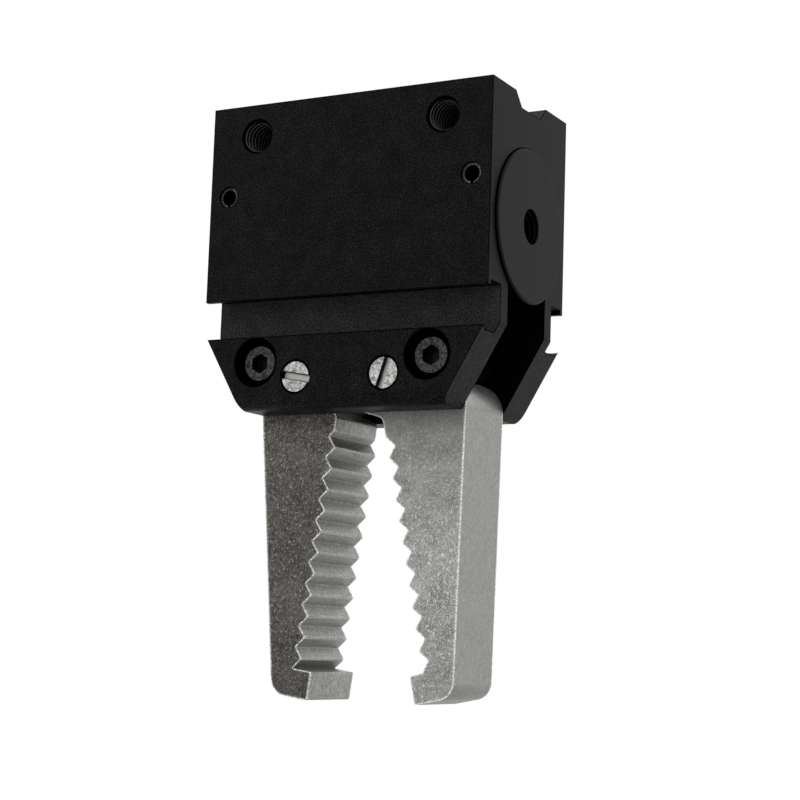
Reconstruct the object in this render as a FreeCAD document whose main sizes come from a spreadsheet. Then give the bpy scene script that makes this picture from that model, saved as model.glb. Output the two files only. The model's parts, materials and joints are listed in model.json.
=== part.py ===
import FreeCAD, Part
import math
import os
import types

import Sketcher

# Pneumatic finger gripper, in millimetres.
# X runs along the cylinder bore, Y from the front face to the back, Z up.
# The origin is the centre of the top face, over the rail groove.
# The jaws hang down and are drawn open, as the return spring leaves them.

os.makedirs("parts", exist_ok=True)
doc = FreeCAD.newDocument("finger_gripper")

SIZES = {
    # body, one extrusion along X
    "body_width": 45.0,
    "body_depth": 25.0,
    "body_height": 44.5,
    "top_groove_width": 10.2,
    "top_groove_floor": 6.2,
    "top_groove_depth": 2.0,
    "block_height": 28.7,
    "block_lip_width": 0.8,
    "block_lip_height": 0.65,
    "neck_width": 17.0,
    "flange_drop": 34.1,
    "flange_lip_width": 0.9,
    "flange_lip_height": 0.5,
    "flange_round": 1.8,
    "slot_width": 12.4,
    "bore_diameter": 22.0,
    "bore_drop": 18.3,
    "taper_angle": 30.0,
    "taper_drop": 33.2,
    # holes in the body
    "mount_inset": 7.5,
    "mount_drop": 4.65,
    "mount_thread": 5.0,
    "mount_depth": 8.0,
    "retainer_inset": 3.0,
    "retainer_drop": 13.3,
    "retainer_diameter": 3.0,
    "retainer_bore": 2.2,
    "retainer_slit": 0.4,
    "retainer_recess": 0.3,
    "cheek_screw_inset": 8.85,
    "cheek_screw_drop": 37.7,
    "cheek_screw_thread": 3.0,
    "cheek_screw_length": 18.0,
    "screw_head_diameter": 5.5,
    "screw_head_height": 3.0,
    "screw_head_chamfer": 0.3,
    "screw_socket_width": 2.5,
    "screw_socket_depth": 1.6,
    "screw_recess_diameter": 7.0,
    "screw_recess_depth": 4.2,
    "screw_clearance": 0.1,
    # pivots
    "pivot_spacing": 14.0,
    "pivot_drop": 40.0,
    "pivot_diameter": 4.0,
    "pivot_seat_depth": 1.5,
    "pivot_thread": 3.0,
    "pivot_thread_length": 3.3,
    "pivot_thread_space": 0.4,
    "pivot_head_diameter": 4.3,
    "pivot_head_height": 1.2,
    "pivot_head_gap": 0.25,
    "pivot_recess": 0.1,
    "pivot_slot_width": 1.1,
    "pivot_slot_depth": 0.7,
    "left_slot_turn": -10.0,
    "right_slot_turn": 72.0,
    "bush_wall": 0.45,
    "pivot_running_gap": 0.05,
    # jaws, each drawn about its own pivot with the tooth row upright
    "jaw_thickness": 12.0,
    "hub_radius": 3.65,
    "shoulder_drop": 0.3,
    "shoulder_radius": 4.55,
    "outer_edge_offset": 9.73,
    "outer_edge_angle": 13.0,
    "jaw_length": 44.3,
    "tip_round": 2.6,
    "lip_reach": 6.3,
    "lip_height": 4.0,
    "lip_round": 0.3,
    "tooth_row_drop": 7.3,
    "tooth_depth": 1.1,
    "tooth_count": 11,
    "valley_reach": 3.2,
    "crest_flat": 0.3,
    "throat_reach": 3.85,
    "throat_step": 0.85,
    "throat_corner_drop": 4.2,
    "throat_round": 0.8,
    "horn_throat_reach": 4.4,
    "horn_corner_drop": 4.54,
    "horn_round": 1.2,
    "horn_slope": 28.0,
    "lower_horn_length": 7.4,
    "upper_horn_length": 6.3,
    "left_open_angle": 8.0,
    "right_open_angle": 12.0,
    "overclose_angle": 0.8,
    # drive between the two jaws
    "lobe_radius": 1.8,
    "lobe_neck_width": 2.6,
    "mesh_gap": 0.06,
    # arm of the left jaw
    "arm_width": 4.8,
    "arm_tip_radius": 3.0,
    "contact_gap": 0.05,
    # cylinder
    "cup_gap": 0.05,
    "cup_proud": 0.45,
    "cup_edge_chamfer": 0.3,
    "cup_length": 18.95,
    "cup_bottom": 7.0,
    "cylinder_bore": 16.0,
    "port_thread": 5.0,
    "port_depth": 5.75,
    "port_passage": 2.6,
    "piston_length": 7.0,
    "piston_gap": 0.05,
    "bumper_thickness": 1.75,
    "bumper_seat": 0.6,
    "bumper_gap": 0.2,
    "bumper_bore": 5.2,
    "bumper_diameter": 9.8,
    "seal_section": 1.5,
    "seal_groove_width": 1.9,
    "seal_side_gap": 0.2,
    "seal_setback": 0.8,
    "seal_gap": 0.03,
    "guide_width": 2.2,
    "guide_thickness": 0.75,
    "guide_setback": 1.0,
    "push_pin_diameter": 6.0,
    "push_pin_seat": 4.4,
    # return spring
    "housing_length": 11.95,
    "seat_bore": 12.0,
    "seat_bore_depth": 5.5,
    "spring_bore": 6.0,
    "spring_bore_depth": 10.5,
    "seat_boss_diameter": 6.0,
    "seat_boss_length": 2.5,
    "seat_length": 3.4,
    "seat_gap": 0.05,
    "seat_pilot_diameter": 3.6,
    "seat_pilot_length": 1.6,
    "spring_diameter": 5.6,
    "spring_wire": 0.8,
    "spring_turns": 4.0,
}
d = types.SimpleNamespace(**SIZES)

sheet = doc.addObject("Spreadsheet::Sheet", "Sizes")
for row, (alias, value) in enumerate(SIZES.items(), start=1):
    sheet.set(f"A{row}", alias)
    sheet.set(f"B{row}", str(value))
    sheet.setAlias(f"B{row}", alias)
doc.recompute()

MOUNT_X = "( body_width / 2 - mount_inset )"
RETAINER_X = "( body_width / 2 - retainer_inset )"
SCREW_X = "( body_width / 2 - cheek_screw_inset )"
pieces = []


def bind(obj, **expressions):
    """Binds properties to the sheet; Base_x stands for Placement.Base.x."""
    for prop, expression in expressions.items():
        path = prop.replace("Base_", "Placement.Base.").replace("Turn", "Placement.Rotation.Angle")
        words = expression.split(" ")
        text = " ".join(f"Sizes.{word}" if word in SIZES else word for word in words)
        obj.setExpression(path, text)


def piece(label, turn_axis=None, **place):
    """Starts one sub-part as a body placed from the sheet."""
    body = doc.addObject("PartDesign::Body", label)
    body.Label = label
    if turn_axis:
        body.Placement = FreeCAD.Placement(FreeCAD.Vector(), FreeCAD.Rotation(turn_axis, 1.0))
    bind(body, **place)
    pieces.append(body)
    return body


def sketch_on(body, role, out="0"):
    """A sketch on one of the body's own planes, moved out along its normal."""
    sketch = body.newObject("Sketcher::SketchObject", "Sketch")
    plane = [f for f in body.Origin.OriginFeatures if f.Role == role][0]
    sketch.AttachmentSupport = (plane, "")
    sketch.MapMode = "FlatFace"
    words = out.split(" ")
    text = " ".join(f"Sizes.{word}" if word in SIZES else word for word in words)
    sketch.setExpression("AttachmentOffset.Base.z", text)
    return sketch


def circle(sketch, radius, x="0", y="0"):
    """A circle whose centre and radius follow the sheet."""
    index = sketch.addGeometry(Part.Circle(FreeCAD.Vector(), FreeCAD.Vector(0, 0, 1), 1.0))
    for kind, expression in (("DistanceX", x), ("DistanceY", y)):
        number = sketch.addConstraint(Sketcher.Constraint(kind, -1, 1, index, 3, 0.0))
        bind_constraint(sketch, number, expression)
    number = sketch.addConstraint(Sketcher.Constraint("Radius", index, 1.0))
    bind_constraint(sketch, number, radius)


def bind_constraint(sketch, number, expression):
    words = expression.split(" ")
    text = " ".join(f"Sizes.{word}" if word in SIZES else word for word in words)
    sketch.setExpression(f"Constraints[{number}]", text)


def outline(sketch, corners):
    """A closed outline of straight runs; a corner (x, y, r) is rounded to radius r."""
    runs = []
    count = len(corners)
    for i, corner in enumerate(corners):
        here = FreeCAD.Vector(corner[0], corner[1], 0)
        radius = corner[2] if len(corner) > 2 else 0.0
        before = FreeCAD.Vector(*corners[i - 1][:2], 0)
        after = FreeCAD.Vector(*corners[(i + 1) % count][:2], 0)
        if radius == 0.0:
            runs.append((here, None, here))
            continue
        back = (before - here).normalize()
        on = (after - here).normalize()
        half = back.getAngle(on) / 2
        cut = radius / math.tan(half)
        centre = here + (back + on).normalize() * (radius / math.sin(half))
        middle = centre + (here - centre).normalize() * radius
        runs.append((here + back * cut, middle, here + on * cut))
    for i, (start, middle, end) in enumerate(runs):
        if middle is not None:
            sketch.addGeometry(Part.Arc(start, middle, end))
        sketch.addGeometry(Part.LineSegment(end, runs[(i + 1) % count][0]))


def along(origin, angle, forward, left):
    """A point given along and to the left of a direction, in degrees."""
    turn = math.radians(angle)
    return (origin[0] + forward * math.cos(turn) - left * math.sin(turn),
            origin[1] + forward * math.sin(turn) + left * math.cos(turn))


def pad(body, sketch, length):
    feature = body.newObject("PartDesign::Pad", "Pad")
    feature.Profile = sketch
    feature.SideType = "Symmetric"
    bind(feature, Length=length)
    doc.recompute()
    return feature


def pocket(body, sketch, length=None):
    """Cuts along the sketch's inward side, or right through when no length is given."""
    before = body.Shape.Volume
    feature = body.newObject("PartDesign::Pocket", "Pocket")
    feature.Profile = sketch
    if length is None:
        feature.Type = "ThroughAll"
        feature.SideType = "Symmetric"
    else:
        bind(feature, Length=length)
    doc.recompute()
    assert body.Shape.Volume < before - 1e-4, f"{body.Label}: a pocket cuts nothing"
    return feature


def revolve(body, role, corners):
    """Turns a half section about the sketch's horizontal axis."""
    sketch = sketch_on(body, role)
    outline(sketch, corners)
    feature = body.newObject("PartDesign::Revolution", "Revolution")
    feature.Profile = sketch
    feature.ReferenceAxis = (sketch, ["H_Axis"])
    feature.Angle = 360.0
    doc.recompute()
    return feature


# Body: the black extrusion with its bore, jaw slot and holes

def body_section():
    """The right half of the extrusion's section, from the groove to the cheek."""
    half = d.body_depth / 2
    lip = half - d.block_lip_width
    under = -d.block_height + d.block_lip_height
    flange_lip = half - d.flange_lip_width
    flange_top = -d.flange_drop - d.flange_lip_height
    return [
        (d.top_groove_floor / 2, -d.top_groove_depth),
        (d.top_groove_width / 2, 0.0),
        (half, 0.0),
        (half, -d.block_height),
        (lip, -d.block_height),
        (lip, under),
        (d.neck_width / 2, under),
        (d.neck_width / 2, flange_top),
        (flange_lip, flange_top),
        (half, -d.flange_drop),
        (half, -d.body_height, d.flange_round),
    ]


def make_body():
    body = piece("body")
    front = "body_depth / 2"

    half = body_section()
    mirrored = [(-corner[0],) + tuple(corner[1:]) for corner in reversed(half)]
    sketch = sketch_on(body, "YZ_Plane")
    outline(sketch, half + mirrored)
    pad(body, sketch, "body_width")

    sketch = sketch_on(body, "YZ_Plane")
    side = d.slot_width / 2
    below = -d.body_height - 1.0
    outline(sketch, [(-side, below), (side, below), (side, -d.bore_drop), (-side, -d.bore_drop)])
    pocket(body, sketch)

    sketch = sketch_on(body, "YZ_Plane")
    circle(sketch, "bore_diameter / 2", y="- bore_drop")
    pocket(body, sketch)

    # The flange and cheeks taper in towards the jaws at both ends.
    sketch = sketch_on(body, "XZ_Plane")
    end = d.body_width / 2
    inset = (d.body_height + 1.0 - d.taper_drop) * math.tan(math.radians(d.taper_angle))
    for sign in (-1, 1):
        outline(sketch, [(sign * end, -d.taper_drop), (sign * (end + 1.0), -d.taper_drop),
                         (sign * (end + 1.0), below), (sign * (end - inset), below)])
    pocket(body, sketch)

    # Two mounting threads, blind from the front face.
    sketch = sketch_on(body, "XZ_Plane", front)
    for sign in ("", "- "):
        circle(sketch, "mount_thread / 2", f"{sign}{MOUNT_X}", "- mount_drop")
    pocket(body, sketch, "mount_depth")

    # Cross holes for the spring pins that hold the two cups.
    sketch = sketch_on(body, "XZ_Plane")
    for sign in ("", "- "):
        circle(sketch, "retainer_diameter / 2", f"{sign}{RETAINER_X}", "- retainer_drop")
    pocket(body, sketch)

    # Cheek screws: head recess, clearance in the front cheek, thread in the back one.
    for radius, out, depth in (
            ("screw_recess_diameter / 2", front, "screw_recess_depth"),
            ("cheek_screw_thread / 2 + screw_clearance", front, "body_depth / 2"),
            ("cheek_screw_thread / 2", "0", "body_depth")):
        sketch = sketch_on(body, "XZ_Plane", out)
        for sign in ("", "- "):
            circle(sketch, radius, f"{sign}{SCREW_X}", "- cheek_screw_drop")
        pocket(body, sketch, depth)

    # Pivot screws: head seat and plain hole in the front cheek, a seat and a thread in the back one.
    pivot_x = "pivot_spacing / 2"
    thread_end = "slot_width / 2 + pivot_seat_depth + pivot_thread_length + pivot_thread_space"
    for radius, out, depth in (
            ("pivot_head_diameter / 2 + pivot_head_gap", front, "pivot_recess + pivot_head_height"),
            ("pivot_diameter / 2", front, front),
            ("pivot_diameter / 2", "0", "slot_width / 2 + pivot_seat_depth"),
            ("pivot_thread / 2", "0", thread_end)):
        sketch = sketch_on(body, "XZ_Plane", out)
        for sign in ("", "- "):
            circle(sketch, radius, f"{sign}{pivot_x}", "- pivot_drop")
        pocket(body, sketch, depth)


# Pins and screws held by the body

def make_retainer(label, sign):
    """A slotted spring pin through body and cup, its slit at the bottom."""
    body = piece(label, Base_x=f"{sign}{RETAINER_X}", Base_z="- retainer_drop")
    outer = d.retainer_diameter / 2
    inner = d.retainer_bore / 2
    slit = d.retainer_slit / 2
    low_out = -math.sqrt(outer ** 2 - slit ** 2)
    low_in = -math.sqrt(inner ** 2 - slit ** 2)
    vector = FreeCAD.Vector
    sketch = sketch_on(body, "XZ_Plane")
    sketch.addGeometry(Part.Arc(vector(slit, low_out, 0), vector(0, outer, 0), vector(-slit, low_out, 0)))
    sketch.addGeometry(Part.LineSegment(vector(-slit, low_out, 0), vector(-slit, low_in, 0)))
    sketch.addGeometry(Part.Arc(vector(-slit, low_in, 0), vector(0, inner, 0), vector(slit, low_in, 0)))
    sketch.addGeometry(Part.LineSegment(vector(slit, low_in, 0), vector(slit, low_out, 0)))
    pad(body, sketch, "body_depth - 2 * retainer_recess")


def make_cheek_screw(label, sign):
    """A socket cap screw that ties the two cheeks across the jaw slot."""
    body = piece(label, Base_x=f"{sign}{SCREW_X}", Base_z="- cheek_screw_drop")
    under = -d.body_depth / 2 + d.screw_recess_depth
    top = under - d.screw_head_height
    tip = under + d.cheek_screw_length
    head = d.screw_head_diameter / 2
    shank = d.cheek_screw_thread / 2
    edge = d.screw_head_chamfer
    revolve(body, "YZ_Plane", [
        (top, 0.0), (top, head - edge), (top + edge, head), (under, head), (under, shank),
        (tip, shank), (tip, 0.0)])
    sketch = sketch_on(body, "XZ_Plane",
                       "body_depth / 2 - screw_recess_depth + screw_head_height")
    reach = d.screw_socket_width / math.sqrt(3)
    outline(sketch, [along((0.0, 0.0), 60.0 * i + 30.0, reach, 0.0) for i in range(6)])
    pocket(body, sketch, "screw_socket_depth")


def make_pivot(label, sign, turn):
    """A slotted pivot screw: head in the front cheek, smooth shank, threaded tail."""
    body = piece(label, Base_x=f"{sign}pivot_spacing / 2", Base_z="- pivot_drop")
    face = -d.body_depth / 2 + d.pivot_recess
    under = face + d.pivot_head_height
    seat = d.slot_width / 2 + d.pivot_seat_depth
    tip = seat + d.pivot_thread_length
    head = d.pivot_head_diameter / 2
    shank = d.pivot_diameter / 2
    tail = d.pivot_thread / 2
    revolve(body, "YZ_Plane", [
        (face, 0.0), (face, head), (under, head), (under, shank), (seat, shank), (seat, tail),
        (tip, tail), (tip, 0.0)])
    sketch = sketch_on(body, "XZ_Plane", "body_depth / 2 - pivot_recess")
    half = d.pivot_slot_width / 2
    reach = d.pivot_diameter
    outline(sketch, [along((0.0, 0.0), turn, x, y)
                     for x, y in ((-reach, -half), (reach, -half), (reach, half), (-reach, half))])
    pocket(body, sketch, "pivot_slot_depth")


# Jaws

LEFT_TRAVEL = d.left_open_angle + d.overclose_angle
RIGHT_TRAVEL = d.right_open_angle + d.overclose_angle
# The meeting point of the two jaws divides the pivot spacing as their travels do.
LEFT_LEVER = d.pivot_spacing * RIGHT_TRAVEL / (LEFT_TRAVEL + RIGHT_TRAVEL)
LEFT_MIDDLE = d.left_open_angle - LEFT_TRAVEL / 2
RIGHT_MIDDLE = d.right_open_angle - RIGHT_TRAVEL / 2
ARM_LENGTH = d.pivot_drop - d.bore_drop


def outer_edge(drop):
    """How far out the jaw's outer edge is at this distance below the pivot."""
    return d.outer_edge_offset - (drop - d.shoulder_drop) * math.tan(math.radians(d.outer_edge_angle))


def grip_corners(row_starts_with_valley):
    """Shoulder, outer edge, tip, lip and tooth row; positive is away from the other jaw."""
    lip_top = -d.jaw_length + d.lip_height
    pitch = -(lip_top + d.tooth_row_drop) / d.tooth_count
    crest = -d.valley_reach - d.tooth_depth
    flat = d.crest_flat / 2
    corners = [
        (0.0, -d.shoulder_drop),
        (d.outer_edge_offset, -d.shoulder_drop, d.shoulder_radius),
        (outer_edge(d.jaw_length), -d.jaw_length, d.tip_round),
        (-d.lip_reach, -d.jaw_length, d.lip_round),
        (-d.lip_reach, lip_top, d.lip_round),
    ]
    step = 0.5 if row_starts_with_valley else 0.0
    if row_starts_with_valley:
        corners.append((-d.valley_reach, lip_top))
    for i in range(int(d.tooth_count)):
        middle = lip_top + (i + step) * pitch
        if i > 0 or row_starts_with_valley:
            corners.append((crest, middle - flat))
        else:
            corners.append((crest, middle))
        corners.append((crest, middle + flat))
        corners.append((-d.valley_reach, middle + pitch / 2))
    return corners


def cut_bush_bore(body):
    sketch = sketch_on(body, "XZ_Plane")
    circle(sketch, "pivot_diameter / 2 + pivot_running_gap + bush_wall")
    pocket(body, sketch)


def pad_round(body, radius, x="0", y="0"):
    sketch = sketch_on(body, "XZ_Plane")
    circle(sketch, radius, x, y)
    pad(body, sketch, "jaw_thickness")


def pad_bar(body, corners):
    sketch = sketch_on(body, "XZ_Plane")
    outline(sketch, corners)
    pad(body, sketch, "jaw_thickness")


def make_left_jaw():
    """The driven jaw: an arm up into the bore and a lobe that drives the other jaw."""
    body = piece("left_jaw", FreeCAD.Vector(0, 1, 0), Base_x="- pivot_spacing / 2",
                 Base_z="- pivot_drop", Turn="left_open_angle")
    corners = grip_corners(True)
    throat = -d.throat_reach
    corners.append((throat, corners[-1][1] + d.throat_step))
    corners.append((throat, -d.throat_corner_drop, d.throat_round))
    corners.append((-1.0, -0.8 * d.hub_radius))
    pad_bar(body, [(-corner[0],) + tuple(corner[1:]) for corner in corners])
    pad_round(body, "hub_radius")

    half = d.arm_width / 2
    pad_bar(body, [(-half, 0.0), (half, 0.0), (half, ARM_LENGTH), (-half, ARM_LENGTH)])
    pad_round(body, "arm_tip_radius", y="pivot_drop - bore_drop")

    neck = d.lobe_neck_width / 2
    pad_bar(body, [along((0.0, 0.0), LEFT_MIDDLE, x, y)
                   for x, y in ((0.0, -neck), (LEFT_LEVER, -neck), (LEFT_LEVER, neck), (0.0, neck))])
    lobe = along((0.0, 0.0), LEFT_MIDDLE, LEFT_LEVER, 0.0)
    pad_round(body, "lobe_radius", str(lobe[0]), str(lobe[1]))
    cut_bush_bore(body)


def make_right_jaw():
    """The following jaw: two horns round the lobe, the lower one seen from below."""
    body = piece("right_jaw", FreeCAD.Vector(0, 1, 0), Base_x="pivot_spacing / 2",
                 Base_z="- pivot_drop", Turn="- right_open_angle")
    toward = 180.0 - RIGHT_MIDDLE
    wall = d.lobe_radius + d.mesh_gap
    corners = grip_corners(False)
    throat = -d.horn_throat_reach
    corners.append((throat, -d.tooth_row_drop))
    corners.append((throat, -d.horn_corner_drop, d.horn_round))
    tip = along((0.0, 0.0), toward, d.lower_horn_length, wall)
    rise = (throat - tip[0]) * math.tan(math.radians(d.horn_slope))
    corners.append((tip[0], -d.horn_corner_drop + rise, 0.5))
    corners.append(tip + (0.4,))
    corners.append(along((0.0, 0.0), toward, d.hub_radius - 1.2, wall))
    pad_bar(body, corners)
    pad_round(body, "hub_radius")

    root = d.hub_radius - 1.2
    pad_bar(body, [along((0.0, 0.0), toward, root, -d.hub_radius),
                   along((0.0, 0.0), toward, root, -wall),
                   along((0.0, 0.0), toward, d.upper_horn_length, -wall) + (0.4,),
                   along((0.0, 0.0), toward, d.upper_horn_length, -d.hub_radius) + (0.5,)])
    pad_bar(body, [(0.0, 0.0), along((0.0, 0.0), toward, root + 0.5, -wall - 0.3),
                   along((0.0, 0.0), toward, root + 0.5, -d.hub_radius),
                   along((0.0, 0.0), toward, 0.0, -d.hub_radius)])
    cut_bush_bore(body)


def make_bush(label, sign):
    body = piece(label, Base_x=f"{sign}pivot_spacing / 2", Base_z="- pivot_drop")
    inner = d.pivot_diameter / 2 + d.pivot_running_gap
    half = d.jaw_thickness / 2
    outer = inner + d.bush_wall
    revolve(body, "YZ_Plane", [(-half, inner), (-half, outer), (half, outer), (half, inner)])


# Cylinder, on the bore's axis

CUP_RADIUS = d.bore_diameter / 2 - d.cup_gap
CUP_FACE = d.body_width / 2 + d.cup_proud
CUP_FLOOR = CUP_FACE - d.cup_bottom
PISTON_BACK = CUP_FLOOR - d.bumper_gap - d.bumper_thickness + d.bumper_seat
PISTON_FRONT = PISTON_BACK - d.piston_length
PISTON_RADIUS = d.cylinder_bore / 2 - d.piston_gap
ARM_TIP_X = -d.pivot_spacing / 2 + ARM_LENGTH * math.sin(math.radians(d.left_open_angle))
PUSH_FACE = ARM_TIP_X + d.arm_tip_radius + d.contact_gap
SEAT_FACE = ARM_TIP_X - d.arm_tip_radius - d.contact_gap


def cut_retainer_hole(body, sign):
    sketch = sketch_on(body, "XZ_Plane")
    circle(sketch, "retainer_diameter / 2", f"{sign}{RETAINER_X}",
           "bore_drop - retainer_drop")
    pocket(body, sketch)


def make_air_cylinder():
    """The right cup: port in its closed end, piston bore open to the jaw arm."""
    body = piece("air_cylinder", Base_z="- bore_drop")
    mouth = CUP_FACE - d.cup_length
    bore = d.cylinder_bore / 2
    port = d.port_thread / 2
    passage = d.port_passage / 2
    edge = d.cup_edge_chamfer
    revolve(body, "XZ_Plane", [
        (mouth, bore), (mouth, CUP_RADIUS), (CUP_FACE - edge, CUP_RADIUS), (CUP_FACE, CUP_RADIUS - edge),
        (CUP_FACE, port), (CUP_FACE - d.port_depth, port), (CUP_FACE - d.port_depth, passage),
        (CUP_FLOOR, passage), (CUP_FLOOR, bore)])
    cut_retainer_hole(body, "")


def make_spring_housing():
    """The left cup: it guides the spring seat and carries the spring's far end."""
    body = piece("spring_housing", Base_z="- bore_drop")
    mouth = -CUP_FACE + d.housing_length
    edge = d.cup_edge_chamfer
    seat = d.seat_bore / 2
    spring = d.spring_bore / 2
    revolve(body, "XZ_Plane", [
        (-CUP_FACE, 0.0), (-CUP_FACE, CUP_RADIUS - edge), (-CUP_FACE + edge, CUP_RADIUS),
        (mouth, CUP_RADIUS), (mouth, seat), (mouth - d.seat_bore_depth, seat),
        (mouth - d.seat_bore_depth, spring), (mouth - d.spring_bore_depth, spring),
        (mouth - d.spring_bore_depth, 0.0)])
    cut_retainer_hole(body, "- ")


def seal_groove():
    back = PISTON_BACK - d.seal_setback
    floor = d.cylinder_bore / 2 - d.seal_gap - d.seal_section
    return back - d.seal_groove_width, back, floor


def guide_groove():
    front = PISTON_FRONT + d.guide_setback
    return front, front + d.guide_width, d.cylinder_bore / 2 - d.seal_gap - d.guide_thickness


def make_piston():
    body = piece("piston", Base_z="- bore_drop")
    seal_front, seal_back, seal_floor = seal_groove()
    guide_front, guide_back, guide_floor = guide_groove()
    pin = d.push_pin_diameter / 2
    bumper = d.bumper_diameter / 2
    seat = PISTON_BACK - d.bumper_seat
    revolve(body, "XZ_Plane", [
        (PISTON_FRONT, pin), (PISTON_FRONT, PISTON_RADIUS),
        (guide_front, PISTON_RADIUS), (guide_front, guide_floor),
        (guide_back, guide_floor), (guide_back, PISTON_RADIUS),
        (seal_front, PISTON_RADIUS), (seal_front, seal_floor),
        (seal_back, seal_floor), (seal_back, PISTON_RADIUS),
        (PISTON_BACK, PISTON_RADIUS), (PISTON_BACK, bumper), (seat, bumper), (seat, 0.0),
        (PISTON_FRONT + d.push_pin_seat, 0.0), (PISTON_FRONT + d.push_pin_seat, pin)])


def make_tube(label, start, end, inner, outer):
    """A plain ring or rod on the bore's axis."""
    body = piece(label, Base_z="- bore_drop")
    revolve(body, "XZ_Plane", [(start, inner), (start, outer), (end, outer), (end, inner)])


def make_piston_seal():
    """A lip seal, its lips open to the pressure side and just clear of the wall."""
    body = piece("piston_seal", Base_z="- bore_drop")
    seal_front, seal_back, floor = seal_groove()
    heel = seal_front + d.seal_side_gap
    lips = seal_back - d.seal_side_gap
    top = floor + d.seal_section
    lip = d.seal_section / 4
    middle = d.seal_section / 2
    revolve(body, "XZ_Plane", [
        (heel, floor), (heel, top - lip), (lips, top), (lips - middle, floor + middle), (lips, floor)])


def make_spring_seat():
    body = piece("spring_seat", Base_z="- bore_drop")
    back = SEAT_FACE - d.seat_boss_length
    end = back - d.seat_length
    boss = d.seat_boss_diameter / 2
    flange = d.seat_bore / 2 - d.seat_gap
    pilot = d.seat_pilot_diameter / 2
    revolve(body, "XZ_Plane", [
        (SEAT_FACE, 0.0), (SEAT_FACE, boss), (back, boss), (back, flange), (end, flange),
        (end, pilot), (end - d.seat_pilot_length, pilot), (end - d.seat_pilot_length, 0.0)])


def make_return_spring():
    """A coil of square wire between the seat and the bottom of the housing's inner bore."""
    start = SEAT_FACE - d.seat_boss_length - d.seat_length
    end = -CUP_FACE + d.housing_length - d.spring_bore_depth
    coil = doc.addObject("Part::Helix", "spring_coil")
    bind(coil, Radius="( spring_diameter - spring_wire ) / 2")
    coil.Height = start - end - d.spring_wire
    coil.Pitch = coil.Height / d.spring_turns
    wire = doc.addObject("Part::RegularPolygon", "spring_section")
    wire.Polygon = 4
    bind(wire, Circumradius="spring_wire / sqrt( 2 )", Base_x="( spring_diameter - spring_wire ) / 2")
    upright = FreeCAD.Rotation(FreeCAD.Vector(1, 0, 0), 90.0)
    wire.Placement.Rotation = upright * FreeCAD.Rotation(FreeCAD.Vector(0, 0, 1), 45.0)
    doc.recompute()
    spring = doc.addObject("Part::Sweep", "return_spring")
    spring.Sections = [wire]
    spring.Spine = (coil, [f"Edge{i + 1}" for i in range(len(coil.Shape.Edges))])
    spring.Solid = True
    spring.Frenet = True
    spring.Label = "return_spring"
    spring.Placement.Rotation = FreeCAD.Rotation(FreeCAD.Vector(0, 1, 0), 90.0)
    spring.Placement.Base = FreeCAD.Vector(end + d.spring_wire / 2, 0, 0)
    bind(spring, Base_z="- bore_drop")
    pieces.append(spring)


make_body()
make_air_cylinder()
make_spring_housing()
for side, sign in (("right", ""), ("left", "- ")):
    make_retainer(f"spring_pin_{side}", sign)
    make_cheek_screw(f"cheek_screw_{side}", sign)
    make_bush(f"pivot_bush_{side}", sign)
make_pivot("pivot_screw_left", "- ", d.left_slot_turn)
make_pivot("pivot_screw_right", "", d.right_slot_turn)
make_left_jaw()
make_right_jaw()
make_piston()
make_piston_seal()
guide_start, guide_end, guide_inner = guide_groove()
make_tube("piston_guide_ring", guide_start, guide_end, guide_inner,
          d.cylinder_bore / 2 - d.seal_gap)
make_tube("piston_bumper", PISTON_BACK - d.bumper_seat, CUP_FLOOR - d.bumper_gap,
          d.bumper_bore / 2, d.bumper_diameter / 2)
make_tube("push_pin", PUSH_FACE, PISTON_FRONT + d.push_pin_seat, 0.0, d.push_pin_diameter / 2)
make_spring_seat()
make_return_spring()
doc.recompute()

for obj in doc.Objects:
    assert "Invalid" not in obj.State and "Error" not in obj.State, f"{obj.Name}: {obj.State}"
for part in pieces:
    shape = part.Shape
    assert not shape.isNull() and shape.isValid(), f"{part.Label}: bad shape"
    assert len(shape.Solids) == 1, f"{part.Label}: {len(shape.Solids)} solids"
    shape.exportStep(f"parts/{part.Label}.step")
    box = shape.BoundBox
    print(f"{part.Label}: {shape.Volume:.1f} mm3, x {box.XMin:.2f} to {box.XMax:.2f}, "
          f"y {box.YMin:.2f} to {box.YMax:.2f}, z {box.ZMin:.2f} to {box.ZMax:.2f}")
print(f"left travel {LEFT_TRAVEL} deg, right travel {RIGHT_TRAVEL} deg, lever {LEFT_LEVER:.3f}")
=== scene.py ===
import json
import math

import bpy
from mathutils import Euler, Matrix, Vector


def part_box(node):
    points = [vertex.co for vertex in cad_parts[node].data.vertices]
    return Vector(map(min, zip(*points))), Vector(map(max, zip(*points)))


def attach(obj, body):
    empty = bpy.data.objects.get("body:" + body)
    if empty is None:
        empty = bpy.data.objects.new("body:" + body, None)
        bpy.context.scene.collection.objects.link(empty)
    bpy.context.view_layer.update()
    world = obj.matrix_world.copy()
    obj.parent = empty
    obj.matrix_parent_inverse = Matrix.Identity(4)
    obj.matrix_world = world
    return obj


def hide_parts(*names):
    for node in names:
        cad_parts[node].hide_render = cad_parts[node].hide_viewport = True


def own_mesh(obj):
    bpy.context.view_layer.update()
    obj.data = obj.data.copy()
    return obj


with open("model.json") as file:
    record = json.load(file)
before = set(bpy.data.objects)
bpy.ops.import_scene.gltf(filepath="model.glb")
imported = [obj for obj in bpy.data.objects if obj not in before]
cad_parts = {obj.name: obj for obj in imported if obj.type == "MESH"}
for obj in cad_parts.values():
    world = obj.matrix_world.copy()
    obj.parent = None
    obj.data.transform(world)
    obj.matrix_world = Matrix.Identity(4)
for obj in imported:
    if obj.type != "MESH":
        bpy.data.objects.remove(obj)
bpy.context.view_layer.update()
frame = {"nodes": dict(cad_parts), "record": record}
nodes = frame["nodes"]
mounts = {mount["name"]: mount for mount in frame["record"]["mounts"]}

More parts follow.
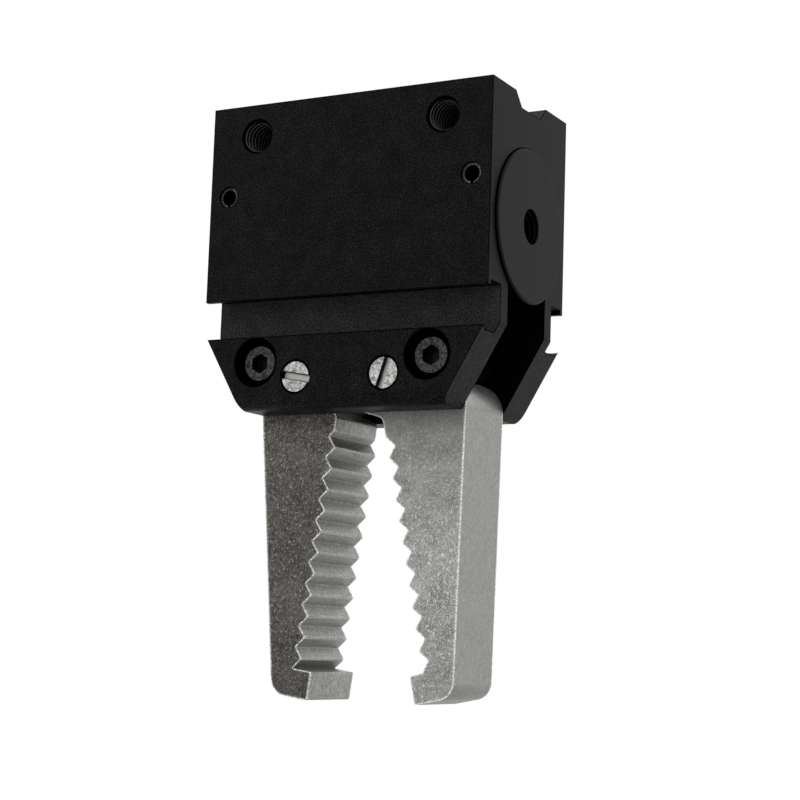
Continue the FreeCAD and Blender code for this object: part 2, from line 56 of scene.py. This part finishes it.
# Sizes in metres, from the frame where it holds them and otherwise as in the part's source
MM = 0.001
BLOCK_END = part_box("body")[1][0]
_, FRONT_Y, MOUNT_Z = mounts["mount_threads"]["pos_m"]
MOUNT_X = mounts["mount_threads"]["dims"]["spacing_x_mm"] / 2 * MM
PORT_X, PORT_Y, BORE_Z = mounts["air_port"]["pos_m"]
JAW_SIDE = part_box("left_jaw")[1][1]
NECK_SIDE = 8.5 * MM
SLOT_SIDE = 6.2 * MM
RECESS_RADIUS = 3.5 * MM


# Materials, all procedural and laid out in the object's own metres

def grey(level):
    """A colour whose three parts are the same."""
    return level, level, level


class NodeTree:
    """Short calls that add nodes to a tree and link them."""

    def __init__(self, tree):
        self.tree = tree

    def node(self, kind, **values):
        made = self.tree.nodes.new(kind)
        for key, value in values.items():
            setattr(made, key, value)
        return made

    def link(self, source, target):
        self.tree.links.new(source, target)

    def math(self, operation, first, second=0.0):
        made = self.node("ShaderNodeMath", operation=operation)
        for socket, value in zip(made.inputs, (first, second)):
            if isinstance(value, float):
                socket.default_value = value
            else:
                self.link(value, socket)
        return made.outputs["Value"]

    def length(self, place):
        """Distance of a place from the origin, in metres."""
        made = self.node("ShaderNodeVectorMath", operation="LENGTH")
        self.link(place, made.inputs[0])
        return made.outputs["Value"]


class Shader(NodeTree):
    """A principled material with short calls for what feeds it."""

    def __init__(self, name, **values):
        self.mat = bpy.data.materials.new(name)
        self.mat.use_nodes = True
        super().__init__(self.mat.node_tree)
        self.bsdf = self.tree.nodes["Principled BSDF"]
        self.place = self.node("ShaderNodeTexCoord").outputs["Object"]
        for key, value in values.items():
            self.bsdf.inputs[key.replace("_", " ")].default_value = value

    def stretched(self, z):
        """The place with its height scaled, for marks that run up and down (below 1) or across."""
        mapping = self.node("ShaderNodeMapping")
        mapping.inputs["Scale"].default_value = (1.0, 1.0, z)
        self.link(self.place, mapping.inputs["Vector"])
        return mapping.outputs["Vector"]

    def noise(self, size, detail=3.0, rough=0.55, place=None):
        """Noise whose patches are about size metres across."""
        made = self.node("ShaderNodeTexNoise")
        made.inputs["Scale"].default_value = 1.0 / size
        made.inputs["Detail"].default_value = detail
        made.inputs["Roughness"].default_value = rough
        self.link(place or self.place, made.inputs["Vector"])
        return made.outputs["Fac"]

    def remap(self, value, low, high, out_low=0.0, out_high=1.0):
        """The value's stretch from low to high, spread over the output's, and held at its ends."""
        made = self.node("ShaderNodeMapRange")
        names = ("From Min", "From Max", "To Min", "To Max")
        for key, number in zip(names, (low, high, out_low, out_high)):
            made.inputs[key].default_value = number
        self.link(value, made.inputs["Value"])
        return made.outputs["Result"]

    def below(self, value, limit, fade):
        """1 up to the limit, falling to 0 over the fade beyond it."""
        return self.remap(value, limit, limit + fade, 1.0, 0.0)

    def total(self, *parts):
        """The sum of some values, each times its weight."""
        terms = [self.math("MULTIPLY", value, weight) for value, weight in parts]
        result = terms[0]
        for term in terms[1:]:
            result = self.math("ADD", result, term)
        return result

    def blend(self, value, first, second):
        """The first colour where the value is 0 and the second where it is 1."""
        made = self.node("ShaderNodeMix", data_type="RGBA")
        for socket, colour in (("A", first), ("B", second)):
            if isinstance(colour, tuple):
                made.inputs[socket].default_value = (*colour, 1.0)
            else:
                self.link(colour, made.inputs[socket])
        self.link(value, made.inputs["Factor"])
        return made.outputs["Result"]

    def edges(self, width):
        """Near 1 on sharp edges, 0 on flat faces."""
        bevel = self.node("ShaderNodeBevel", samples=8)
        bevel.inputs["Radius"].default_value = width
        geometry = self.node("ShaderNodeNewGeometry")
        dot = self.node("ShaderNodeVectorMath", operation="DOT_PRODUCT")
        self.link(bevel.outputs["Normal"], dot.inputs[0])
        self.link(geometry.outputs["Normal"], dot.inputs[1])
        cosine_flat = 0.995
        cosine_bent = 0.92
        return self.remap(dot.outputs["Value"], cosine_flat, cosine_bent)

    def part_of(self, vector, axis):
        """A vector's X, Y or Z."""
        split = self.node("ShaderNodeSeparateXYZ")
        self.link(vector, split.inputs["Vector"])
        return split.outputs[axis]

    def coordinate(self, axis):
        """How far along an axis of the object the place is, in metres."""
        return self.part_of(self.place, axis)

    def from_middle(self, axis):
        """Distance from the object's middle plane along an axis, in metres."""
        return self.math("ABSOLUTE", self.coordinate(axis))

    def away_from(self, x, z):
        """Distance from a line along Y, in metres."""
        mapping = self.node("ShaderNodeMapping")
        mapping.inputs["Location"].default_value = (-x, 0.0, -z)
        mapping.inputs["Scale"].default_value = (1.0, 0.0, 1.0)
        self.link(self.place, mapping.inputs["Vector"])
        return self.length(mapping.outputs["Vector"])

    def open_air(self, reach):
        """1 out in the open, less in corners and slots."""
        made = self.node("ShaderNodeAmbientOcclusion", samples=8)
        made.inputs["Distance"].default_value = reach
        return made.outputs["AO"]

    def faces_along(self, axis):
        """1 on faces square to an axis of the object, 0 on the others."""
        normal = self.node("ShaderNodeTexCoord").outputs["Normal"]
        cosine_other = 0.9
        cosine_square = 0.97
        return self.remap(self.math("ABSOLUTE", self.part_of(normal, axis)), cosine_other, cosine_square)

    def bump(self, value, height, strength):
        made = self.node("ShaderNodeBump")
        made.inputs["Distance"].default_value = height
        made.inputs["Strength"].default_value = strength
        self.link(value, made.inputs["Height"])
        self.link(made.outputs["Normal"], self.bsdf.inputs["Normal"])

    def drive(self, socket, source):
        self.link(source, self.bsdf.inputs[socket])


def screw_axis(screw):
    """X and Z of the line down a screw's middle."""
    middle = [sum(pair) / 2 for pair in zip(*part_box(screw))]
    return middle[0], middle[2]


def anodised(name, dark, light, gloss, pockets):
    """Black anodised aluminium: grainy on the extruded sides, smooth on the sawn ends.

    Pockets are the nodes of the screws whose recesses are painted near black as shade."""
    shader = Shader(name, Metallic=0.0)
    grain = shader.noise(0.16 * MM, detail=1.5, rough=0.7)
    patches = shader.noise(3.0 * MM, detail=2.0)
    tone = shader.total((grain, 0.88), (patches, 0.12))
    sawn = shader.faces_along("X")
    depth = shader.remap(sawn, 0.0, 1.0, 1.0, 0.12)
    tone = shader.math("ADD", shader.math("MULTIPLY", shader.math("SUBTRACT", tone, 0.5), depth), 0.5)
    colour = shader.blend(shader.remap(tone, 0.5, 0.66), dark, light)
    # The groove's inner wall has a coarser grain and is painted paler, as painted light falling on it from
    # below and the front.
    out = shader.from_middle("Y")
    upright = shader.faces_along("Y")
    fade = 0.2 * MM
    wall_low = NECK_SIDE - 0.1 * MM
    wall_high = NECK_SIDE + 0.4 * MM
    wall = shader.math("MULTIPLY", shader.below(out, wall_high, fade),
                       shader.remap(out, wall_low - fade, wall_low))
    grain_and_painted_light = shader.blend(shader.remap(tone, 0.42, 0.66), grey(0.006), grey(0.07))
    colour = shader.blend(shader.math("MULTIPLY", wall, upright), colour, grain_and_painted_light)
    # The screw recesses are painted near black, as shade.
    for screw in pockets:
        near = shader.below(shader.away_from(*screw_axis(screw)), RECESS_RADIUS + 0.02 * MM, 0.04 * MM)
        sunk = shader.below(out, -FRONT_Y - 0.3 * MM, 0.1 * MM)
        colour = shader.blend(shader.math("MULTIPLY", near, sunk), colour, grey(0.0002))
    # The broken edges face away from the light and are painted as thin dark lines of shade. The jaw slot is
    # painted dark as shade too, and both lose their gloss.
    slot = shader.math("MULTIPLY", shader.below(out, SLOT_SIDE + 0.7 * MM, fade), upright)
    rim = shader.edges(0.3 * MM)
    colour = shader.blend(slot, colour, grey(0.0016))
    shader.drive("Base Color", shader.blend(rim, colour, grey(0.0002)))
    painted_shade = shader.math("MAXIMUM", rim, slot)
    shader.drive("Specular IOR Level", shader.remap(painted_shade, 0.0, 1.0, gloss, 0.0))
    shader.drive("Roughness", shader.remap(tone, 0.4, 0.6, 0.5, 0.3))
    shader.bump(shader.math("MULTIPLY", grain, depth), height=0.08 * MM, strength=0.9)
    return shader.mat


def cup_finish(name, dark, light, gloss):
    """A turned and anodised cup: even where it stands proud of the block, and painted near black without
    gloss in the bore, as shade.
    """
    shader = Shader(name, Metallic=0.0)
    fine = shader.noise(0.25 * MM, detail=2.0)
    wall_end = BLOCK_END + 0.18 * MM
    lit = shader.remap(shader.from_middle("X"), wall_end, wall_end + 0.08 * MM)
    proud = shader.blend(shader.remap(fine, 0.3, 0.7), dark, light)
    shader.drive("Base Color", shader.blend(lit, grey(0.0003), proud))
    shader.drive("Specular IOR Level", shader.math("MULTIPLY", lit, gloss))
    shader.drive("Roughness", shader.remap(fine, 0.3, 0.7, 0.46, 0.38))
    return shader.mat


def threaded(name, root, crest, gloss):
    """A cut thread: painted shade, black, in the roots and a painted highlight on the crests."""
    shader = Shader(name, Metallic=0.0, Roughness=0.4)
    height = shader.node("ShaderNodeAttribute", attribute_name="crest").outputs["Fac"]
    lit = shader.remap(height, 0.6, 1.0)
    shader.drive("Base Color", shader.blend(lit, root, crest))
    shader.drive("Specular IOR Level", shader.math("MULTIPLY", lit, gloss))
    return shader.mat


def blasted_steel(name, dark, light, side_dark, side_light, glint, top_shade):
    """Steel with blasted flat sides whose grains glint, and smoother cut faces."""
    shader = Shader(name, Metallic=1.0)
    fine = shader.noise(0.2 * MM, detail=2.0, rough=0.65)
    blotch = shader.noise(2.4 * MM, detail=5.0, rough=0.6)
    pits = shader.noise(0.6 * MM, detail=4.0, rough=0.75)
    tone = shader.total((fine, 0.5), (blotch, 0.25), (pits, 0.25))
    blasted = shader.blend(shader.remap(tone, 0.4, 0.62), dark, light)
    # The glints on the flat sides are painted highlights.
    strokes = shader.noise(0.22 * MM, rough=0.8, place=shader.stretched(z=0.6))
    crinkle = shader.math("MULTIPLY", shader.math("SUBTRACT", pits, 0.5), 0.35)
    blasted = shader.blend(shader.remap(shader.math("ADD", strokes, crinkle), 0.58, 0.68), blasted, glint)
    # The flat sides may be shaded from the block to their middle, and are a little at the tips.
    height = shader.coordinate("Z")
    under_block, middle = -44.0 * MM, -66.0 * MM
    above_tip, tip = -72.0 * MM, -84.0 * MM
    blasted = shader.blend(shader.remap(height, under_block, middle, top_shade, 0.0), blasted, dark)
    blasted = shader.blend(shader.remap(height, above_tip, tip, 0.0, 0.3), blasted, dark)
    marks = shader.noise(0.25 * MM, rough=0.7, place=shader.stretched(z=0.4))
    cut = shader.total((marks, 0.6), (tone, 0.4))
    sides = shader.blend(shader.remap(cut, 0.4, 0.6), side_dark, side_light)
    flat = shader.faces_along("Y")
    colour = shader.blend(flat, sides, blasted)
    # The near-white on the sharp edges is wear and painted highlight together. The tooth faces are ground,
    # so it stays on the outlines of the flat sides.
    outline = shader.remap(shader.from_middle("Y"), JAW_SIDE - 0.5 * MM, JAW_SIDE - 0.3 * MM, 0.4, 1.0)
    wear_and_highlight = shader.math("MULTIPLY", shader.edges(0.5 * MM), shader.remap(fine, 0.43, 0.54, 0.15, 1.0))
    wear_and_highlight = shader.math("MULTIPLY", wear_and_highlight, outline)
    shader.drive("Base Color", shader.blend(wear_and_highlight, colour, (0.97, 0.97, 0.95)))
    shader.drive("Roughness", shader.remap(fine, 0.35, 0.65, 0.56, 0.34))
    depth = shader.remap(flat, 0.0, 1.0, 0.2, 1.0)
    relief = shader.math("MULTIPLY", shader.math("ADD", fine, pits), depth)
    shader.bump(relief, height=0.06 * MM, strength=0.8)
    return shader.mat


def drawn_steel(name, dark, light, rough=0.3):
    """Bright turned or drawn metal with small scratches."""
    shader = Shader(name, Metallic=1.0)
    fine = shader.noise(0.3 * MM, rough=0.7)
    wide = shader.noise(0.8 * MM, detail=4.0, rough=0.7)
    shader.drive("Base Color", shader.blend(shader.remap(wide, 0.4, 0.6), dark, light))
    shader.drive("Roughness", shader.remap(fine, 0.3, 0.7, rough - 0.08, rough + 0.12))
    shader.bump(fine, height=0.02 * MM, strength=0.6)
    return shader.mat


def screw_finish(name, dark, light, slot_colour, screw, rough):
    """A screw head: marked by the driver on top, with its own flat colour in its slot or socket, and
    painted shade on its sides and in its corners.
    """
    shader = Shader(name, Metallic=1.0)
    fine = shader.noise(0.3 * MM, rough=0.75, place=shader.stretched(z=1.6))
    wide = shader.noise(0.7 * MM, detail=4.0, rough=0.7)
    tone = shader.total((fine, 0.5), (wide, 0.5))
    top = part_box(screw)[0][1]
    inside = shader.remap(shader.coordinate("Y"), top + 0.15 * MM, top + 0.4 * MM)
    marked = shader.blend(shader.remap(tone, 0.44, 0.56), dark, light)
    colour = shader.blend(inside, marked, slot_colour)
    # Faces not square to Y, and corners that ambient occlusion finds near walls, are painted dark as shade.
    clear = shader.remap(shader.open_air(0.35 * MM), 0.6, 0.9)
    lit = shader.math("MULTIPLY", shader.faces_along("Y"), clear)
    shader.drive("Base Color", shader.blend(lit, grey(0.015), colour))
    shader.drive("Roughness", shader.remap(tone, 0.4, 0.6, rough + 0.12, rough - 0.06))
    shader.bump(tone, height=0.05 * MM, strength=0.7)
    return shader.mat


def pin_finish(name, dark, light):
    """A spring pin: bare steel at its ends, and painted near black as shade on its other faces, inside its
    bore.
    """
    shader = Shader(name, Metallic=1.0, Roughness=0.4)
    ends = shader.blend(shader.remap(shader.noise(0.3 * MM), 0.4, 0.6), dark, light)
    shader.drive("Base Color", shader.blend(shader.faces_along("Y"), grey(0.004), ends))
    return shader.mat


def soft(name, dark, light, rough, size):
    """Rubber or plastic with a faint mould grain, whose patches are size metres across."""
    shader = Shader(name, Metallic=0.0)
    grain = shader.noise(size)
    shader.drive("Base Color", shader.blend(grain, dark, light))
    shader.drive("Roughness", shader.remap(grain, 0.3, 0.7, rough - 0.06, rough + 0.06))
    shader.bump(grain, height=0.02 * MM, strength=0.5)
    return shader.mat


body_black = anodised("body_black", dark=grey(0.0004), light=grey(0.027), gloss=0.055,
                      pockets=("cheek_screw_left", "cheek_screw_right"))
cylinder_black = cup_finish("cylinder_black", dark=grey(0.0045), light=(0.006, 0.0063, 0.0063), gloss=0.055)
# The port and the recess wall are painted darker still than the mount threads, as the shade deep inside
# them.
thread_black = threaded("thread_black", root=grey(0.0004), crest=grey(0.05), gloss=0.4)
port_shade = threaded("port_shade", root=grey(0.0003), crest=grey(0.004), gloss=0.04)
recess_shade = threaded("recess_shade", root=grey(0.0003), crest=grey(0.0006), gloss=0.0)
left_steel = blasted_steel("left_jaw_steel", dark=(0.03, 0.028, 0.025), light=(0.175, 0.167, 0.152),
                           side_dark=(0.21, 0.21, 0.2), side_light=(0.43, 0.43, 0.41),
                           glint=(0.42, 0.4, 0.37), top_shade=0.0)
right_steel = blasted_steel("right_jaw_steel", dark=(0.17, 0.17, 0.16), light=(0.54, 0.54, 0.52),
                            side_dark=(0.23, 0.23, 0.22), side_light=(0.34, 0.34, 0.32),
                            glint=(0.9, 0.9, 0.88), top_shade=0.75)
pin_end = pin_finish("pin_end", dark=grey(0.03), light=grey(0.09))
pin_steel = drawn_steel("pin_steel", dark=grey(0.3), light=(0.6, 0.6, 0.59))
screw_steel = screw_finish("screw_steel", dark=grey(0.018), light=grey(0.075), slot_colour=grey(0.008),
                           screw="cheek_screw_left", rough=0.34)
pivot_steel = screw_finish("pivot_steel", dark=(0.2, 0.2, 0.195), light=(0.64, 0.64, 0.62),
                           slot_colour=(0.45, 0.45, 0.44), screw="pivot_screw_left", rough=0.42)
bronze = drawn_steel("bush_bronze", dark=(0.3, 0.21, 0.11), light=(0.45, 0.34, 0.2), rough=0.4)
turned = drawn_steel("turned_aluminium", dark=(0.45, 0.45, 0.46), light=(0.66, 0.66, 0.67))
spring_wire = drawn_steel("spring_steel", dark=(0.28, 0.28, 0.29), light=grey(0.5))
rubber = soft("seal_rubber", dark=grey(0.012), light=grey(0.03), rough=0.6, size=0.4 * MM)
guide = soft("guide_plastic", dark=(0.66, 0.63, 0.55), light=(0.78, 0.76, 0.69), rough=0.5, size=0.5 * MM)

# Each CAD node's material and the width of its broken edges in millimetres
FINISH = {
    "body": (body_black, 0.12),
    "air_cylinder": (cylinder_black, 0.08),
    "spring_housing": (cylinder_black, 0.08),
    "spring_pin_left": (pin_end, 0.06),
    "spring_pin_right": (pin_end, 0.06),
    "cheek_screw_left": (screw_steel, 0.08),
    "cheek_screw_right": (screw_steel, 0.08),
    "pivot_screw_left": (pivot_steel, 0.05),
    "pivot_screw_right": (pivot_steel, 0.05),
    "pivot_bush_left": (bronze, 0.05),
    "pivot_bush_right": (bronze, 0.05),
    "left_jaw": (left_steel, 0.16),
    "right_jaw": (right_steel, 0.16),
    "piston": (turned, 0.08),
    "piston_seal": (rubber, 0.0),
    "piston_guide_ring": (guide, 0.05),
    "piston_bumper": (rubber, 0.08),
    "push_pin": (pin_steel, 0.08),
    "spring_seat": (turned, 0.08),
    "return_spring": (spring_wire, 0.0),
}
SHARP_ANGLE = math.radians(32.0)


def dress(name, material, bevel):
    """Gives a CAD node its material and breaks its sharp edges."""
    obj = nodes[name]
    obj.data.materials.clear()
    obj.data.materials.append(material)
    weld = obj.modifiers.new("weld", "WELD")
    weld.merge_threshold = 0.002 * MM
    if bevel:
        rounded = obj.modifiers.new("edges", "BEVEL")
        rounded.width = bevel * MM
        rounded.segments = 2
        rounded.limit_method = "ANGLE"
        rounded.angle_limit = SHARP_ANGLE
        rounded.use_clamp_overlap = True
        rounded.harden_normals = True


for node_name, (node_material, node_bevel) in FINISH.items():
    dress(node_name, node_material, node_bevel)


# Threads cut in the mounting holes and in the air port, and the walls of the two screw recesses

THREAD_MAJOR = 2.47 * MM
THREAD_MINOR = 2.08 * MM
THREAD_PITCH = 0.8 * MM
MOUNT_THREAD_DEPTH = 7.6 * MM
PORT_THREAD_DEPTH = 5.5 * MM
MOUTH_Y = FRONT_Y + 0.16 * MM
PORT_MOUTH_X = PORT_X - 0.05 * MM
RECESS_WALL = RECESS_RADIUS - 0.07 * MM
RECESS_WALL_DEPTH = 4.0 * MM
RECESS_PITCH = 2.0 * MM
SLEEVE_WALL = 0.06 * MM
SLEEVE_SIDES = 56
ROWS_PER_PITCH = 10
LEAD_IN_PITCHES = 0.3
RIDGE_TOP = 1.25
RIDGE_SLOPE = 3.2


def add_mesh(name, points, faces, material, body, crests=None):
    """A smooth mesh that rides on a body; crests say how far out on a thread each point is."""
    mesh = bpy.data.meshes.new(name)
    mesh.from_pydata(points, [], faces)
    if crests:
        mesh.attributes.new("crest", "FLOAT", "POINT").data.foreach_set("value", crests)
    mesh.validate()
    mesh.materials.append(material)
    obj = bpy.data.objects.new(name, mesh)
    bpy.context.scene.collection.objects.link(obj)
    for polygon in mesh.polygons:
        polygon.use_smooth = True
    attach(obj, body)
    return obj


def inner_thread(name, mouth, axis, depth, major, minor, pitch, material, body):
    """A threaded sleeve from the mouth inwards; axis points out of the hole.

    The ridge is a V with a flat crest that rises over the lead-in, a share of the pitch. Where
    major and minor are the same, the sleeve is a plain ring and the pitch only sets its rows."""
    out = Vector(axis).normalized()
    side = out.orthogonal().normalized()
    up = out.cross(side)
    points = []
    crests = []

    def add_point(along, turn, radius, crest):
        angle = 2 * math.pi * turn
        across = side * math.cos(angle) + up * math.sin(angle)
        points.append(Vector(mouth) - out * along + across * radius)
        crests.append(crest)

    rows = int(depth / pitch * ROWS_PER_PITCH)
    for i in range(rows + 1):
        along = depth * i / rows
        lead = min(1.0, along / (LEAD_IN_PITCHES * pitch))
        for j in range(SLEEVE_SIDES):
            turn = j / SLEEVE_SIDES
            phase = (along / pitch - turn) % 1.0
            ridge = min(1.0, max(0.0, RIDGE_TOP - abs(phase - 0.5) * RIDGE_SLOPE))
            add_point(along, turn, major - (major - minor) * ridge * lead, ridge * lead)
    for along in (0.0, depth):
        for j in range(SLEEVE_SIDES):
            add_point(along, j / SLEEVE_SIDES, major + SLEEVE_WALL, 0.0)
    faces = []
    for i in range(rows):
        here = i * SLEEVE_SIDES
        there = here + SLEEVE_SIDES
        for j in range(SLEEVE_SIDES):
            k = (j + 1) % SLEEVE_SIDES
            faces.append((here + j, here + k, there + k, there + j))
    inner_end = rows * SLEEVE_SIDES
    outer_mouth = inner_end + SLEEVE_SIDES
    outer_end = outer_mouth + SLEEVE_SIDES
    for j in range(SLEEVE_SIDES):
        k = (j + 1) % SLEEVE_SIDES
        faces.append((j, outer_mouth + j, outer_mouth + k, k))
        faces.append((inner_end + j, inner_end + k, outer_end + k, outer_end + j))
        faces.append((outer_mouth + j, outer_end + j, outer_end + k, outer_mouth + k))
    return add_mesh(name, points, faces, material, body, crests)


for sign, side_name in ((-1, "left"), (1, "right")):
    thread = inner_thread(f"mount_thread_{side_name}", (sign * MOUNT_X, MOUTH_Y, MOUNT_Z), (0, -1, 0),
                          MOUNT_THREAD_DEPTH, THREAD_MAJOR, THREAD_MINOR, THREAD_PITCH,
                          thread_black, "base")
    # The recess runs into the groove behind the lip, so its wall is closed with a thin ring painted black
    # as shade.
    screw_x, screw_z = screw_axis(f"cheek_screw_{side_name}")
    ring = inner_thread(f"recess_wall_{side_name}", (screw_x, MOUTH_Y, screw_z), (0, -1, 0),
                        RECESS_WALL_DEPTH, RECESS_WALL, RECESS_WALL, RECESS_PITCH, recess_shade, "base")
port = inner_thread("port_thread", (PORT_MOUTH_X, PORT_Y, BORE_Z), (1, 0, 0), PORT_THREAD_DEPTH,
                    THREAD_MAJOR, THREAD_MINOR, THREAD_PITCH, port_shade, "base")


# The return spring, built at one length, though in the gripper it shortens as the jaws close

COIL_RADIUS = 2.4 * MM
COIL_WIRE = 0.8 * MM
COIL_TURNS = 4.0
STEPS_PER_TURN = 40
CORNER_SHARE = 0.36


def square_coil(name, start, end, radius, wire, turns, material, body):
    """A coil of square wire along X on the bore's axis, its corners slightly broken."""
    half = wire / 2
    cut = wire * CORNER_SHARE
    section = [(half, cut), (cut, half), (-cut, half), (-half, cut),
               (-half, -cut), (-cut, -half), (cut, -half), (half, -cut)]
    steps = int(turns * STEPS_PER_TURN)
    points = []
    for i in range(steps + 1):
        angle = 2 * math.pi * turns * i / steps
        x = start + (end - start) * i / steps
        for out, along in section:
            reach = radius + out
            points.append((x + along, reach * math.sin(angle), BORE_Z + reach * math.cos(angle)))
    sides = len(section)
    faces = [tuple(range(sides)), tuple(steps * sides + j for j in reversed(range(sides)))]
    for i in range(steps):
        here = i * sides
        there = here + sides
        for j in range(sides):
            k = (j + 1) % sides
            faces.append((here + j, there + j, there + k, here + k))
    return add_mesh(name, points, faces, material, body)


spring_low, spring_high = (corner[0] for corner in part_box("return_spring"))
coil = square_coil("return_coil", spring_low + COIL_WIRE / 2, spring_high - COIL_WIRE / 2,
                   COIL_RADIUS, COIL_WIRE, COIL_TURNS, spring_wire, "base")
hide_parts("return_spring")
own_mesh(coil)


# Light: three soft lamps in a room and over a floor that are white where they are seen directly

WHITE = (1.0, 1.0, 1.0, 1.0)
LAMP_TARGET = (0.0, 0.0, -0.04)
# Each lamp's name, place, size and power in watts
LAMPS = (
    ("right_side", (0.5, 0.1, 0.12), (0.35, 0.5), 0.7),
    ("front_high", (0.2, -0.45, 0.35), (0.4, 0.4), 0.9),
    ("left_back", (-0.4, 0.35, 0.3), (0.4, 0.4), 0.7),
)
ROOM_STRENGTH = 0.6


def lamp(name, place, size, power):
    """A white rectangular lamp that faces the target."""
    data = bpy.data.lights.new(name, "AREA")
    data.shape = "RECTANGLE"
    data.size, data.size_y = size
    data.energy = power
    obj = bpy.data.objects.new(name, data)
    obj.location = place
    obj.rotation_euler = (Vector(LAMP_TARGET) - Vector(place)).to_track_quat("-Z", "Y").to_euler()
    bpy.context.scene.collection.objects.link(obj)


for lamp_name, lamp_place, lamp_size, lamp_power in LAMPS:
    lamp(lamp_name, lamp_place, lamp_size, lamp_power)


class Stage(NodeTree):
    """Node calls for the room and the floor, which are white where they are seen directly."""

    def __init__(self, tree):
        super().__init__(tree)
        tree.nodes.clear()
        path = self.node("ShaderNodeLightPath")
        seen = self.math("MAXIMUM", path.outputs["Is Camera Ray"], path.outputs["Is Glossy Ray"])
        self.seen = self.math("MAXIMUM", seen, path.outputs["Is Transmission Ray"])

    def shader(self, kind, **values):
        """A shader node's output, with its inputs set."""
        made = self.node(kind)
        for key, value in values.items():
            made.inputs[key].default_value = value
        return made.outputs[0]

    def mix(self, factor, first, second):
        """The first shader where the factor is 0 and the second where it is 1."""
        made = self.node("ShaderNodeMixShader")
        self.link(factor, made.inputs["Fac"])
        self.link(first, made.inputs[1])
        self.link(second, made.inputs[2])
        return made.outputs["Shader"]


world = bpy.data.worlds.new("studio")
world.use_nodes = True
bpy.context.scene.world = world
room = Stage(world.node_tree)
even = room.shader("ShaderNodeBackground", Color=WHITE, Strength=ROOM_STRENGTH)
white = room.shader("ShaderNodeBackground", Color=WHITE, Strength=1.0)
room.link(room.mix(room.seen, even, white), room.node("ShaderNodeOutputWorld").inputs["Surface"])


def pale_floor(drop, half, near, far):
    """A pale floor that keeps the shadow near the object and is white as the room further out."""
    mesh = bpy.data.meshes.new("floor")
    corners = [(-half, -half, drop), (half, -half, drop), (half, half, drop), (-half, half, drop)]
    mesh.from_pydata(corners, [], [(0, 1, 2, 3)])
    obj = bpy.data.objects.new("floor", mesh)
    bpy.context.scene.collection.objects.link(obj)
    material = bpy.data.materials.new("pale_floor")
    material.use_nodes = True
    mesh.materials.append(material)
    stage = Stage(material.node_tree)
    fade = stage.node("ShaderNodeMapRange", interpolation_type="SMOOTHSTEP")
    fade.inputs["From Min"].default_value = near
    fade.inputs["From Max"].default_value = far
    stage.link(stage.length(stage.node("ShaderNodeTexCoord").outputs["Object"]), fade.inputs["Value"])
    away = stage.math("MULTIPLY", fade.outputs["Result"], stage.seen)
    matt = stage.shader("ShaderNodeBsdfDiffuse", Color=(*grey(0.87), 1.0))
    glow = stage.shader("ShaderNodeEmission", Color=WHITE, Strength=1.0)
    below = stage.node("ShaderNodeNewGeometry").outputs["Backfacing"]
    surface = stage.mix(below, stage.mix(away, matt, glow), stage.shader("ShaderNodeBsdfTransparent"))
    stage.link(surface, stage.node("ShaderNodeOutputMaterial").inputs["Surface"])
    return obj


pale_floor(drop=-0.15, half=2.0, near=0.22, far=0.6)


# The camera, as it was fitted to the photo's straight edges

CAMERA_PLACE = (0.12500, -0.22605, -0.07635)
CAMERA_DEGREES = (97.6245, -1.8968, 28.0904)

camera_data = bpy.data.cameras.new("camera")
camera_data.lens = 81.67
camera_data.sensor_width = 36.0
camera_data.clip_start = 0.01
camera = bpy.data.objects.new("camera", camera_data)
camera.location = CAMERA_PLACE
camera.rotation_euler = Euler([math.radians(angle) for angle in CAMERA_DEGREES])
bpy.context.scene.collection.objects.link(camera)
bpy.context.scene.camera = camera
bpy.context.scene.view_settings.view_transform = "Standard"
